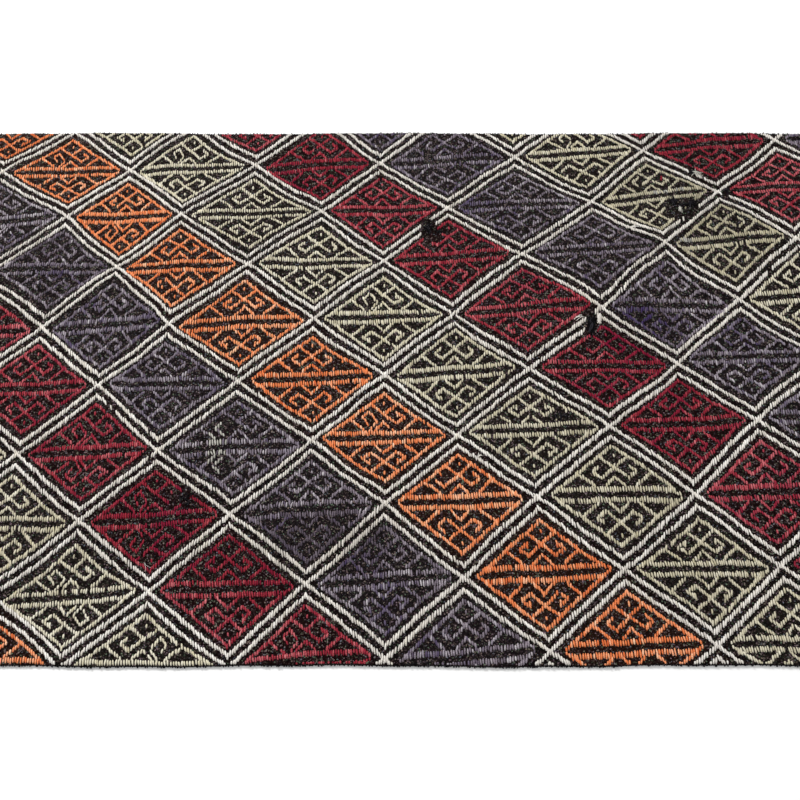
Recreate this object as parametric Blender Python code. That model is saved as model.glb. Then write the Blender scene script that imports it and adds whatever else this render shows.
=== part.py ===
"""A cut length of a kilim: a flat wool cloth with a lattice of double lines and a barred,
hooked diamond in each space, brocaded on a dark ground. It lies on a flat surface.

The frame is in metres: +X along the warp, +Y from the near cut edge to the far one and +Z
up, with the origin on the surface under the middle of the cloth. The pattern is set out in
diamonds: along the warp in diamond widths, and across it in diamond heights.
"""

import math

import bmesh
import bpy
from mathutils import Vector
from mathutils.geometry import delaunay_2d_cdt

# The cut length
LENGTH = 1.000
WIDTH_LEFT = 0.577
WIDTH_RIGHT = 0.541
GROUND = 0.0026
EDGE_WANDER = 0.0011
EDGE_WAVE = 0.290
EDGE_REACH = 0.030

# The pattern
DIAMOND_WIDTH = 0.125
DIAMOND_HEIGHT = 0.130
WEAVE_TURN = math.radians(2.9)
MIDDLE_CROSSING = Vector((0.0090, -0.0123))

# Relief of the brocading above the ground
LINE_RISE = 0.0011
GROOVE_RISE = 0.0003
MOTIF_RISE = 0.0008
HOOK_RISE = 0.0005

# Parts of a diamond, in diamonds: heights are shares of its height, lengths of its width
LINE_APART = 0.082
LINE_FOOT = 0.036
MOTIF_HALF_LENGTH = 0.420
MOTIF_HALF_HEIGHT = 0.360
BAR_HALF_LENGTH = 0.355
BAR_HEIGHT = 0.034
HOOK_HEIGHT = 0.180

# Bottom mesh, and the most that two points may be apart and still be one
BOTTOM_STEP = 0.040
BOTTOM_MARGIN = 0.012
SAME_POINT = 1e-6

# Where hand weaving pushed the pattern: place and reach in diamonds, pushes in millimetres
DRIFT_COLUMNS = ("along", "across", "reach", "push_along", "push_across")
DRIFTS = (
    (-1.5, 0.5, 0.70, -9, 4),
    (-2.5, 1.4, 0.60, 6, 3),
    (-2.0, 0.9, 0.45, 0, 4),
    (1.5, 1.2, 0.60, 8, -1),
    (0.1, 2.1, 0.60, -4, -7),
    (1.0, 2.1, 0.60, 1, -6),
    (2.0, 2.2, 0.60, -3, -11),
    (2.1, 0.9, 0.60, 2, 6),
    (-2.0, -1.0, 0.60, 0, -4),
    (-1.4, -1.5, 0.60, -1, -5),
    (1.3, -0.7, 0.60, 1, 5),
    (2.5, -0.4, 0.60, -3, 5),
    (2.6, -1.5, 0.50, -5, -3),
    (-1.0, -2.0, 0.45, 6, -2),
    (1.0, 0.0, 0.40, -4, 0),
    (-1.5, 1.5, 0.40, -6, 2),
    (-1.8, 0.6, 0.80, 3, 0),
    (-2.5, 0.5, 0.40, 1, 3.5),
    (0.8, 1.0, 0.55, -6, -1),
    (2.0, 1.0, 0.40, 0, -4),
    (2.9, 1.2, 0.50, 0, 4),
    (2.1, 2.1, 0.50, 2, 3),
    (1.4, 0.2, 0.50, 5, 0),
    (0.5, 0.5, 0.40, -1.5, 3),
    (0.7, -0.8, 0.45, -3, 1.5),
    (-1.5, -0.5, 0.40, -3, -2),
    (-0.6, -0.9, 0.50, 1, 3),
    (-1.5, 2.1, 0.50, -2.5, -2),
    (-0.5, 1.5, 0.40, 3, -1.5),
    (0.1, -2.0, 0.45, 0, -4),
    (2.5, -1.5, 0.40, 0, 2),
)

# Where the cloth doesn't lie quite flat: centre, half sizes and rise in millimetres, turn in
# degrees
SWELL_COLUMNS = ("x", "y", "half_length", "half_breadth", "rise", "turn")
SWELLS = (
    (-215, -150, 150, 62, 4.0, 38),
    (235, 130, 135, 58, 3.2, -28),
    (-330, 120, 120, 60, 2.6, 12),
    (300, -165, 115, 55, 2.4, 52),
)


def named_rows(columns, rows):
    return [dict(zip(columns, row)) for row in rows]


def drift_at(along, across):
    """How far hand weaving moved the pattern here, in metres."""
    moved = Vector((0.0, 0.0))
    for drift in named_rows(DRIFT_COLUMNS, DRIFTS):
        away = math.hypot(along - drift["along"], across - drift["across"])
        weight = math.exp(-((away / drift["reach"]) ** 2))
        moved += weight * 0.001 * Vector((drift["push_along"], drift["push_across"]))
    return moved


def on_cloth(along, across):
    """The place on the cloth of a point of the pattern."""
    point = Vector((along * DIAMOND_WIDTH, across * DIAMOND_HEIGHT)) + drift_at(along, across)
    turned = Vector(
        (
            point.x * math.cos(WEAVE_TURN) - point.y * math.sin(WEAVE_TURN),
            point.x * math.sin(WEAVE_TURN) + point.y * math.cos(WEAVE_TURN),
        )
    )
    return MIDDLE_CROSSING + turned


def swell_at(x, y):
    """How far the underside is lifted off the surface here."""
    lift = 0.0
    for swell in named_rows(SWELL_COLUMNS, SWELLS):
        turn = math.radians(swell["turn"])
        east, north = 1000 * x - swell["x"], 1000 * y - swell["y"]
        long_way = (east * math.cos(turn) + north * math.sin(turn)) / swell["half_length"]
        short_way = (north * math.cos(turn) - east * math.sin(turn)) / swell["half_breadth"]
        away = math.hypot(long_way, short_way)
        if away < 1:
            lift += 0.001 * swell["rise"] * math.cos(away * math.pi / 2) ** 2
    return lift


def half_width(x):
    share = x / LENGTH + 0.5
    return (WIDTH_LEFT * (1 - share) + WIDTH_RIGHT * share) / 2


def crossing(i, j):
    """Crossing of the lattice's i-th line that leans right with its j-th that leans left."""
    return Vector(((i - j) / 2, -(i + j) / 2))


class Drawing:
    """Points of the pattern with their rise above the ground, and the lines between them."""

    def __init__(self):
        self.points = []
        self.rises = []
        self.lines = []
        self.numbers = {}

    def point(self, place, rise):
        key = (round(place.x, 5), round(place.y, 5))
        if key not in self.numbers:
            self.numbers[key] = len(self.points)
            self.points.append(on_cloth(place.x, place.y))
            self.rises.append(rise)
        return self.numbers[key]

    def line(self, start, end, rise, steps=2):
        stops = [self.point(start.lerp(end, k / steps), rise) for k in range(steps + 1)]
        self.lines.extend(zip(stops, stops[1:]))


def draw_lattice_side(drawing, upper, lower):
    """The double line from one crossing down to the next, and the groove between its lines."""
    apart = Vector((0.0, LINE_APART))
    drawing.line(upper, lower + apart, LINE_RISE)
    drawing.line(upper - apart, lower, LINE_RISE)
    drawing.line(upper - apart / 2, lower + apart / 2, GROOVE_RISE)


def draw_loop(drawing, corners, rise):
    for start, end in zip(corners, corners[1:] + corners[:1]):
        drawing.line(start, end, rise)


def draw_space(drawing, i, j):
    """The space under crossing (i, j): the foot of the lines round it, and its motif."""
    top, bottom = crossing(i, j), crossing(i + 1, j + 1)
    left, right = crossing(i, j + 1), crossing(i + 1, j)
    middle = (top + bottom) / 2
    foot_inward = Vector((LINE_FOOT / (1 - 2 * LINE_APART), 0.0))
    foot_down = Vector((0.0, LINE_APART + LINE_FOOT))
    draw_loop(drawing, [top - foot_down, right - foot_inward, bottom + foot_down, left + foot_inward], 0.0)
    reach = Vector((MOTIF_HALF_LENGTH, 0.0))
    height = Vector((0.0, MOTIF_HALF_HEIGHT))
    draw_loop(drawing, [middle + height, middle + reach, middle - height, middle - reach], MOTIF_RISE)
    half_bar = Vector((BAR_HALF_LENGTH, 0.0))
    for side in (-1, 0, 1):
        bar = middle + Vector((0.0, side * BAR_HEIGHT))
        drawing.line(bar - half_bar, bar + half_bar, MOTIF_RISE if side else 0.0)
    for side in (-1, 1):
        drawing.point(middle + Vector((0.0, side * HOOK_HEIGHT)), HOOK_RISE)


def draw_pattern():
    """Every part of the pattern that the cut length can show, and a bit more all round."""
    drawing = Drawing()
    reach = LENGTH / 2 + DIAMOND_WIDTH, WIDTH_LEFT / 2 + DIAMOND_HEIGHT
    most = math.ceil(reach[0] / DIAMOND_WIDTH + reach[1] / DIAMOND_HEIGHT)
    for i in range(-most, most + 1):
        for j in range(-most, most + 1):
            place = on_cloth(*crossing(i, j))
            if abs(place.x) > reach[0] or abs(place.y) > reach[1]:
                continue
            draw_lattice_side(drawing, crossing(i, j), crossing(i, j + 1))
            draw_lattice_side(drawing, crossing(i, j), crossing(i + 1, j))
            draw_space(drawing, i, j)
    return drawing


def top_surface(drawing):
    """The upper surface as a mesh with the pattern in relief, past the cut edges all round."""
    places, _, triangles, origins, _, _ = delaunay_2d_cdt(
        drawing.points, drawing.lines, [], 0, SAME_POINT
    )
    mesh = bmesh.new()
    corners = []
    for place, origin in zip(places, origins):
        rise = max((drawing.rises[k] for k in origin), default=GROOVE_RISE)
        height = swell_at(place.x, place.y) + GROUND + rise
        corners.append(mesh.verts.new((place.x, place.y, height)))
    for triangle in triangles:
        mesh.faces.new([corners[k] for k in triangle])
    return mesh


def cut_to_length(mesh):
    """Cuts the surface along the four edges of the length."""
    taper = (WIDTH_RIGHT - WIDTH_LEFT) / 2 / LENGTH
    middle_half = (WIDTH_LEFT + WIDTH_RIGHT) / 4
    edges = (
        (Vector((LENGTH / 2, 0, 0)), Vector((1, 0, 0))),
        (Vector((-LENGTH / 2, 0, 0)), Vector((-1, 0, 0))),
        (Vector((0, middle_half, 0)), Vector((-taper, 1, 0)).normalized()),
        (Vector((0, -middle_half, 0)), Vector((-taper, -1, 0)).normalized()),
    )
    for on_edge, outward in edges:
        everything = mesh.verts[:] + mesh.edges[:] + mesh.faces[:]
        bmesh.ops.bisect_plane(
            mesh, geom=everything, dist=SAME_POINT, plane_co=on_edge, plane_no=outward, clear_outer=True
        )
    bmesh.ops.dissolve_degenerate(mesh, dist=SAME_POINT, edges=mesh.edges[:])
    bmesh.ops.triangulate(mesh, faces=mesh.faces[:])


def rim_in_order(mesh):
    """The vertices round the surface's rim, one after the other."""
    following = {}
    for edge in mesh.edges:
        if edge.is_boundary:
            loop = edge.link_loops[0]
            following[loop.vert] = loop.link_loop_next.vert
    start = next(iter(following))
    rim = [start]
    while following[rim[-1]] is not start:
        rim.append(following[rim[-1]])
    return rim


def inner_grid():
    """Places inside the cut edges where the underside has its points."""
    columns = round(LENGTH / BOTTOM_STEP)
    rows = round(WIDTH_LEFT / BOTTOM_STEP)
    for column in range(1, columns):
        x = -LENGTH / 2 + LENGTH * column / columns
        for row in range(-rows // 2, rows // 2 + 1):
            y = row * BOTTOM_STEP
            if abs(y) < half_width(x) - BOTTOM_MARGIN:
                yield Vector((x, y))


def close_underneath(mesh):
    """Adds the cut edges' thickness and the underside, which is flat but for the swells."""
    rim = rim_in_order(mesh)
    low_rim = [mesh.verts.new((v.co.x, v.co.y, swell_at(v.co.x, v.co.y))) for v in rim]
    for k, vertex in enumerate(rim):
        after = (k + 1) % len(rim)
        mesh.faces.new((vertex, low_rim[k], low_rim[after], rim[after]))
    inside = list(inner_grid())
    flat = [v.co.xy for v in low_rim] + inside
    whole_rim = list(range(len(low_rim)))
    rim_lines = list(zip(whole_rim, whole_rim[1:] + whole_rim[:1]))
    places, _, triangles, origins, _, _ = delaunay_2d_cdt(flat, rim_lines, [whole_rim], 1, SAME_POINT)
    corners = []
    for place, origin in zip(places, origins):
        if origin[0] < len(low_rim):
            corners.append(low_rim[origin[0]])
        else:
            corners.append(mesh.verts.new((place.x, place.y, swell_at(place.x, place.y))))
    for triangle in triangles:
        mesh.faces.new([corners[k] for k in triangle])


def wander(distance, phase):
    """How far a hand-cut edge strays from straight, this far along it."""
    turn = 2 * math.pi * distance / EDGE_WAVE + phase
    return EDGE_WANDER * (0.7 * math.sin(turn) + 0.3 * math.sin(3.7 * turn + phase))


def near_edge(distance):
    """1 on the cut edge, falling to 0 well inside it."""
    share = min(max(1 - distance / EDGE_REACH, 0.0), 1.0)
    return share * share * (3 - 2 * share)


def stray(mesh):
    """Lets the four cut edges wander a little, as scissors do."""
    for vertex in mesh.verts:
        x, y = vertex.co.x, vertex.co.y
        vertex.co.x += near_edge(LENGTH / 2 - x) * wander(y, 0.4)
        vertex.co.x -= near_edge(LENGTH / 2 + x) * wander(y, 2.1)
        vertex.co.y += near_edge(half_width(x) - y) * wander(x, 1.3)
        vertex.co.y -= near_edge(half_width(x) + y) * wander(x, 5.2)


def wool_material():
    """Dark wool with the mean tone of its brocading."""
    material = bpy.data.materials.new("kilim_wool")
    material.use_nodes = True
    shader = material.node_tree.nodes["Principled BSDF"]
    shader.inputs["Base Color"].default_value = (0.105, 0.075, 0.067, 1.0)
    shader.inputs["Roughness"].default_value = 0.92
    shader.inputs["Metallic"].default_value = 0.0
    return material


def kilim_cloth():
    """The whole cloth, as one closed solid."""
    solid = top_surface(draw_pattern())
    cut_to_length(solid)
    close_underneath(solid)
    stray(solid)
    bmesh.ops.triangulate(solid, faces=solid.faces[:])
    bmesh.ops.recalc_face_normals(solid, faces=solid.faces[:])
    data = bpy.data.meshes.new("kilim_cloth")
    solid.to_mesh(data)
    solid.free()
    data.materials.append(wool_material())
    cloth = bpy.data.objects.new("kilim_cloth", data)
    bpy.context.scene.collection.objects.link(cloth)
    return cloth


def main():
    for old in list(bpy.data.objects):
        bpy.data.objects.remove(old)
    bpy.context.scene.unit_settings.system = "METRIC"
    kilim_cloth()


main()
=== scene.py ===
# %% [markdown]
# # A cut length of a hand-woven kilim
#
# The real rug is a dark plain weave of wool. While it was on the loom, the weaver laid extra
# coloured yarns over it: short upright stitches, called floats, side by side. Double ivory lines
# make a lattice, and every space of the lattice holds a barred diamond with hooks. The floats
# lie on the ground like grains of rice, so here each one is a small solid of its own, and only
# the ground weave under them is left to the material.
#
# The CAD model gives the size and the place, so it is loaded before anything else.

# %% Load the frame
import math

import bpy
import numpy as np
from mathutils import Matrix, Vector


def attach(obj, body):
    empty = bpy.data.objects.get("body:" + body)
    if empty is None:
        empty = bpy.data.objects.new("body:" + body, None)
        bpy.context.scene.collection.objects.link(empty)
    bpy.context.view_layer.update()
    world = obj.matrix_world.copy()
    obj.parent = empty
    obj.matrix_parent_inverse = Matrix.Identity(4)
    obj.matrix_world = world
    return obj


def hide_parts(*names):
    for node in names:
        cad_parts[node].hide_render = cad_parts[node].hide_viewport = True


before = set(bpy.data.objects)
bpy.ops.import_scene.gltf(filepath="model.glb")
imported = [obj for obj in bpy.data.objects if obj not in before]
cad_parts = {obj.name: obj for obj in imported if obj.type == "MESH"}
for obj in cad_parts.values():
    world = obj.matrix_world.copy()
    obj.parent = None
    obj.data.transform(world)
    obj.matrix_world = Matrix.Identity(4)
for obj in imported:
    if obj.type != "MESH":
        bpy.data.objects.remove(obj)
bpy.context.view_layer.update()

# %% [markdown]
# ## Sizes
#
# The cloth is set out in diamonds: along the warp in diamond widths, and across it in diamond
# heights. Lengths are in metres, unless a table says otherwise. A table with named columns is
# easier to mend than numbers that are spread through the code, so `named_rows` turns each row
# into a dictionary.

# %% Sizes of the cloth and its pattern
LENGTH = 1.000
WIDTH_LEFT = 0.577
WIDTH_RIGHT = 0.541
GROUND = 0.0026
EDGE_WANDER = 0.0011
EDGE_WAVE = 0.290
EDGE_REACH = 0.030
DIAMOND_WIDTH = 0.125
DIAMOND_HEIGHT = 0.130
WEAVE_TURN = math.radians(2.9)
MIDDLE_CROSSING = (0.0090, -0.0123)
PICKS = 63  # upright yarns across one diamond


def named_rows(columns, rows):
    return [dict(zip(columns, row)) for row in rows]


rng = np.random.default_rng(1887)
print("One float in", round(1000 * DIAMOND_WIDTH / PICKS, 2), "mm")

# %% [markdown]
# ## How the cloth lies
#
# A hand-woven pattern is never quite straight: the weaver beats the weft down harder in one
# place than in another. `DRIFTS` says where the pattern was pushed, over what reach and how far,
# `BENDS` does so for the small bends, and `WAVES` adds the tremble of a hand. Every piece below
# goes through `on_cloth`, so all of them agree.

# %% Drift of the pattern
DRIFT_COLUMNS = ("along", "across", "reach", "push_along", "push_across")  # diamonds, mm
DRIFTS = (
    (-1.5, 0.5, 0.7, -9, 4), (-2.5, 1.4, 0.6, 6, 3), (-2, 0.9, 0.45, 0, 4), (1.5, 1.2, 0.6, 8, -1),
    (0.1, 2.1, 0.6, -4, -7), (1, 2.1, 0.6, 1, -6), (2, 2.2, 0.6, -3, -11), (2.1, 0.9, 0.6, 2, 6),
    (-2, -1, 0.6, 0, -4), (-1.4, -1.5, 0.6, -1, -5), (1.3, -0.7, 0.6, 1, 5),
    (2.5, -0.4, 0.6, -3, 5), (2.6, -1.5, 0.5, -5, -3), (-1, -2, 0.45, 6, -2), (1, 0, 0.4, -4, 0),
    (-1.5, 1.5, 0.4, -6, 2), (-1.8, 0.6, 0.8, 3, 0), (-2.5, 0.5, 0.4, 1, 3.5),
    (0.8, 1, 0.55, -6, -1), (2, 1, 0.4, 0, -4), (2.9, 1.2, 0.5, 0, 4), (2.1, 2.1, 0.5, 2, 3),
    (1.4, 0.2, 0.5, 5, 0), (0.5, 0.5, 0.4, -1.5, 3), (0.7, -0.8, 0.45, -3, 1.5),
    (-1.5, -0.5, 0.4, -3, -2), (-0.6, -0.9, 0.5, 1, 3), (-1.5, 2.1, 0.5, -2.5, -2),
    (-0.5, 1.5, 0.4, 3, -1.5), (0.1, -2, 0.45, 0, -4), (2.5, -1.5, 0.4, 0, 2),
)  # fmt: skip
BEND_REACH = 0.27
BEND_COLUMNS = ("along", "across", "push_along", "push_across")  # diamonds, mm
BENDS = (
    (-3, 2, -5, 3), (-2.6, 1.6, 0, 3), (-1.75, 2.25, 0, 3), (-2.3, 1.7, 0, 2), (-2.2, 1.2, 0, -3),
    (-2.7, 0.7, 0, 3), (-0.75, 1.75, 0, -3.5), (-1.9, 1.1, 0, -2.5), (-2.4, 0.4, 0, -3),
    (-0.7, 1.3, 0, 3.5), (-0.2, 1.2, 0, -3), (-1.3, 0.7, 0, -2), (-0.9, 0.9, 0, 3),
    (-1.7, 0.3, 0, -4.5), (-1.2, 0.25, 0, -3.5), (1.25, 1.75, 0, -3), (0.3, 1.7, 0, -2),
    (-0.2, 0.8, 0, 3), (0.2, 0.8, 0, -2.5), (-0.75, -0.25, 0, -2.5), (-1.3, -0.7, 0, -2.5),
    (-2.3, -1.3, 0, -3.5), (1.6, 1.6, 0, -2.5), (2.1, 1.9, 0, -3), (1.2, 1.2, 0, -2),
    (1.7, 1.3, 0, -3.5), (0.6, 0.6, 0, -2.5), (1.3, 0.7, 0, 3), (0.25, -0.25, 0, -2.5),
    (-0.7, -0.7, 0, -3.5), (-1.25, -1.25, 0, 2.5), (-0.7, -1.3, 0, -3), (-1.15, -1.85, 0, -3),
    (2.8, 1.8, 0, -5), (1.8, 0.8, 0, 2.5), (2.3, 0.7, 0, -4), (1.7, 0.3, 0, -3),
    (-0.3, -1.3, 0, -3), (0.1, -1.1, 0, 3), (2.8, 0.8, 0, 2.5), (2.3, 0.3, 0, -2.5),
    (2.7, 0.3, 0, -3), (0.25, -1.75, 0, 2), (0.8, -1.8, 0, -2.5), (1.75, -1.25, 0, -2),
    (1.6, -1.6, 0, 2), (0.5, 0.5, 3.4, -1), (1, 1, 2.5, 1), (2, 2, -1, 2), (-2, 1, 0, 1.5),
    (1, 0, 2, 0.5), (2, 0, 1.5, -0.5), (2, -1, 1.5, 0), (-1.2, 2.2, 0, -3), (1, 0.5, 2.5, 0),
    (-1, 0.5, 2, 0), (2, 0.5, 2, 0), (-1.5, 0, -2, 0), (-1.5, 2, -2, 0), (0.5, 2, -2.5, 0),
    (-2, 0.5, 1.5, 0), (-1, -0.5, 1.5, 0), (2.5, 0, -1, 0), (1, -1.5, -1, 0), (2, 1.5, -1, 0),
    (0, 0.5, -1, 0), (0.5, 0, -1, 0), (2.5, -1, -1, 0), (-2.5, 1, 1, 0), (-2, -0.5, 1, 0),
    (-2, -1.5, 1, 0),
)  # fmt: skip
WAVE_COLUMNS = ("cycles_along", "cycles_across", "phase", "push_along", "push_across")
WAVES = (
    (0.90, 0.35, 0.3, 0.30, 0.60),
    (-0.55, 1.15, 1.9, 0.40, 0.35),
    (1.70, -0.80, 4.0, 0.20, 0.40),
    (0.30, 2.30, 2.2, 0.30, 0.20),
    (2.90, 0.60, 5.1, 0.10, 0.30),
)
bend_rows = [{**bend, "reach": BEND_REACH} for bend in named_rows(BEND_COLUMNS, BENDS)]
PUSHES = named_rows(DRIFT_COLUMNS, DRIFTS) + bend_rows


def drift_at(along, across):
    """How far the weaver's hand moved the pattern here, in metres."""
    east = np.zeros_like(along)
    north = np.zeros_like(along)
    for drift in PUSHES:
        away = np.hypot(along - drift["along"], across - drift["across"])
        weight = 0.001 * np.exp(-((away / drift["reach"]) ** 2))
        east += weight * drift["push_along"]
        north += weight * drift["push_across"]
    for wave in named_rows(WAVE_COLUMNS, WAVES):
        cycles = along * wave["cycles_along"] + across * wave["cycles_across"]
        weight = 0.001 * np.sin(2 * math.pi * cycles + wave["phase"])
        east += weight * wave["push_along"]
        north += weight * wave["push_across"]
    return east, north


def on_cloth(along, across):
    """The place on the flat cloth of points of the pattern."""
    east, north = drift_at(along, across)
    east += along * DIAMOND_WIDTH
    north += across * DIAMOND_HEIGHT
    x = MIDDLE_CROSSING[0] + east * math.cos(WEAVE_TURN) - north * math.sin(WEAVE_TURN)
    y = MIDDLE_CROSSING[1] + east * math.sin(WEAVE_TURN) + north * math.cos(WEAVE_TURN)
    return x, y


print("Places where the pattern is pushed:", len(PUSHES))

# %% [markdown]
# The cloth doesn't lie quite flat: `SWELLS` lifts it a few millimetres in four ovals. Its edges
# were cut by hand, so they stray a little. `settle` does both to the points of any piece.

# %% The cut edges and the swells
SWELL_COLUMNS = ("x", "y", "half_length", "half_breadth", "rise", "turn")  # mm, degrees
SWELLS = (
    (-215, -150, 150, 62, 4.0, 38),
    (235, 130, 135, 58, 3.2, -28),
    (-330, 120, 120, 60, 2.6, 12),
    (300, -165, 115, 55, 2.4, 52),
)


def half_width(x):
    share = x / LENGTH + 0.5
    return (WIDTH_LEFT * (1 - share) + WIDTH_RIGHT * share) / 2


def swell_at(x, y):
    """How far the cloth is lifted off the surface here."""
    lift = np.zeros_like(x)
    for swell in named_rows(SWELL_COLUMNS, SWELLS):
        turn = math.radians(swell["turn"])
        east, north = 1000 * x - swell["x"], 1000 * y - swell["y"]
        long_way = (east * math.cos(turn) + north * math.sin(turn)) / swell["half_length"]
        short_way = (north * math.cos(turn) - east * math.sin(turn)) / swell["half_breadth"]
        away = np.minimum(np.hypot(long_way, short_way), 1)
        lift += 0.001 * swell["rise"] * np.cos(away * math.pi / 2) ** 2
    return lift


def wander(distance, phase):
    """How far a hand-cut edge strays from straight, this far along it."""
    turn = 2 * math.pi * distance / EDGE_WAVE + phase
    return EDGE_WANDER * (0.7 * np.sin(turn) + 0.3 * np.sin(3.7 * turn + phase))


def near_edge(distance):
    """1 on the cut edge, falling to 0 well inside it."""
    share = np.clip(1 - distance / EDGE_REACH, 0, 1)
    return share * share * (3 - 2 * share)


def settle(places):
    """Lays points of the flat cloth on its swells and lets its edges stray, as scissors do."""
    x, y, z = places.T.copy()
    z = z + swell_at(x, y)
    x = x + near_edge(LENGTH / 2 - x) * wander(y, 0.4)
    x = x - near_edge(LENGTH / 2 + x) * wander(y, 2.1)
    y = y + near_edge(half_width(x) - y) * wander(x, 1.3)
    y = y - near_edge(half_width(x) + y) * wander(x, 5.2)
    return np.stack([x, y, z], 1)


print("Highest swell in millimetres:", max(row[4] for row in SWELLS))

# %% [markdown]
# ## The camera, the floor and the light
#
# The photo looks down at the cloth from about 56 degrees, a little from the right. The lattice
# itself gave the view: its crossings are equally spaced on the cloth, so the way that they draw
# together in the photo fixes where the lens was. The camera is turned by three directions that
# stand at right angles: right, up and back.

# %% The camera at the photo's angle
CAMERA_PLACE = Vector((0.1110, -0.6841, 0.9599))
CAMERA_FORWARD = Vector((-0.0755, 0.5580, -0.8264))
CAMERA_RIGHT = Vector((0.9972, 0.0439, -0.0614))
LENS = 61.02  # mm
SENSOR = 36  # mm

forward = CAMERA_FORWARD.normalized()
right = (CAMERA_RIGHT - forward * CAMERA_RIGHT.dot(forward)).normalized()
up = right.cross(forward)
camera_data = bpy.data.cameras.new("view")
camera_data.lens = LENS
camera_data.sensor_width = SENSOR
camera_data.clip_start = 0.01
camera = bpy.data.objects.new("view", camera_data)
turned = Matrix((right, up, -forward)).transposed().to_4x4()
camera.matrix_world = Matrix.Translation(CAMERA_PLACE) @ turned
bpy.context.scene.collection.objects.link(camera)
bpy.context.scene.camera = camera
print("Camera", round(CAMERA_PLACE.z, 3), "m above the cloth")

# %% [markdown]
# The floor is a plain pale sheet. Two soft lamps and an even white sky light the cloth as a
# studio does. The scene's colours are shown as they are, with the Standard view, because the
# softer film-like view would turn the orange and the reds dull.

# %% Floor, sky and lamps
FLOOR_SIZE = 8.0
FLOOR_BELOW = 0.0002
SKY_STRENGTH = 0.58
LAMP_COLUMNS = ("name", "place", "size", "power")
LAMPS = (
    ("lamp_back_left", (-1.25, 1.2, 1.55), 0.7, 48),
    ("lamp_front_right", (1.2, -1.0, 1.9), 1.6, 9),
)


def add_lamp(name, place, size, power):
    light = bpy.data.lights.new(name, "AREA")
    light.shape = "DISK"
    light.size = size
    light.energy = power
    lamp = bpy.data.objects.new(name, light)
    lamp.location = place
    lamp.rotation_euler = (-Vector(place)).to_track_quat("-Z", "Y").to_euler()
    bpy.context.scene.collection.objects.link(lamp)


for lamp in named_rows(LAMP_COLUMNS, LAMPS):
    add_lamp(**lamp)

floor_data = bpy.data.meshes.new("floor")
half = FLOOR_SIZE / 2
floor_data.from_pydata(
    [(x, y, -FLOOR_BELOW) for x, y in ((-half, -half), (half, -half), (half, half), (-half, half))],
    [],
    [(0, 1, 2, 3)],
)
floor = bpy.data.objects.new("floor", floor_data)
bpy.context.scene.collection.objects.link(floor)

sky = bpy.data.worlds.new("sky")
sky.use_nodes = True
background = sky.node_tree.nodes["Background"]
background.inputs["Color"].default_value = (1, 1, 1, 1)
background.inputs["Strength"].default_value = SKY_STRENGTH
bpy.context.scene.world = sky
bpy.context.scene.view_settings.view_transform = "Standard"
print("Lamps:", len(LAMPS))

# %% [markdown]
# ## Nodes without tears
#
# Both the stitches and the finishes are made with nodes. Linking dozens of them one by one hides
# the pattern that they make, so a small class wraps a socket as a `Signal`. Sums on a signal add
# Math nodes, and a pattern reads as plain arithmetic. The number may stand on either side of the
# sign: `0.5 - mask` works as well as `mask - 0.5`.

# %% A socket that can stand in a sum
class Signal:
    """An output of a node that can stand in a sum."""

    def __init__(self, bench, node, socket):
        self.bench = bench
        self.node = node
        self.socket = socket

    def out(self, name):
        """Another output of the same node."""
        return Signal(self.bench, self.node, self.node.outputs[name])

    def maths(self, operation, *others):
        return self.bench.maths(operation, self, *others)

    def __add__(self, other):
        return self.maths("ADD", other)

    def __sub__(self, other):
        return self.maths("SUBTRACT", other)

    def __rsub__(self, other):
        return self.bench.maths("SUBTRACT", other, self)

    def __mul__(self, other):
        return self.maths("MULTIPLY", other)

    __radd__ = __add__
    __rmul__ = __mul__


print("Signs that a signal knows: + - *")

# %% [markdown]
# `Bench` adds the nodes of one tree. Its method `node` takes a node's type, its settings, and the
# values or links of its sockets. The settings are set first, because some of them, such as the
# kind of data that a Mix node works on, change which sockets it shows.

# %% A workbench for nodes
class Bench:
    """Adds nodes to one tree."""

    def __init__(self, tree):
        self.tree = tree

    def node(self, kind, settings=None, sockets=None):
        made = self.tree.nodes.new(kind)
        for name, value in (settings or {}).items():
            if name == "stops":
                self.set_stops(made.color_ramp, value)
            else:
                setattr(made, name, value)
        for key, value in (sockets or {}).items():
            socket = self.find(made, key)
            if isinstance(value, Signal):
                self.tree.links.new(value.socket, socket)
            else:
                socket.default_value = value
        shown = [socket for socket in made.outputs if socket.enabled]
        return Signal(self, made, shown[0] if shown else None)

    @staticmethod
    def find(node, key):
        """A node's input by name or number, among those that its settings show."""
        shown = [socket for socket in node.inputs if socket.enabled]
        if isinstance(key, int):
            return shown[key]
        return next(socket for socket in shown if socket.name == key)

    @staticmethod
    def set_stops(ramp, stops):
        while len(ramp.elements) < len(stops):
            ramp.elements.new(0.5)
        for element, (place, colour) in zip(ramp.elements, stops):
            element.position = place
            element.color = colour

    def maths(self, operation, *values):
        return self.node("ShaderNodeMath", {"operation": operation}, dict(enumerate(values)))

    def mix(self, share, first, second, blend="MIX"):
        """Two colours mixed."""
        settings = {"data_type": "RGBA", "blend_type": blend}
        return self.node("ShaderNodeMix", settings, {"Factor": share, "A": first, "B": second})

    def noise(self, place, scale, detail=2):
        sockets = {"Vector": place, "Scale": scale, "Detail": detail}
        return self.node("ShaderNodeTexNoise", None, sockets)

    def attribute(self, name, output):
        return self.node("ShaderNodeAttribute", {"attribute_name": name}).out(output)

    def ramp(self, share, *stops):
        """A colour picked by a share: each stop is a place and a colour as a screen shows it."""
        stops = [(place, colour(*shown)) for place, shown in stops]
        return self.node("ShaderNodeValToRGB", {"stops": stops}, {0: share})


print("Bench ready")

# %% [markdown]
# A finish starts as Blender's plain material and gets a colour and a bump. Colours are given as
# they look on a screen and turned into amounts of light, which is what the shaders reckon with.

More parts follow.
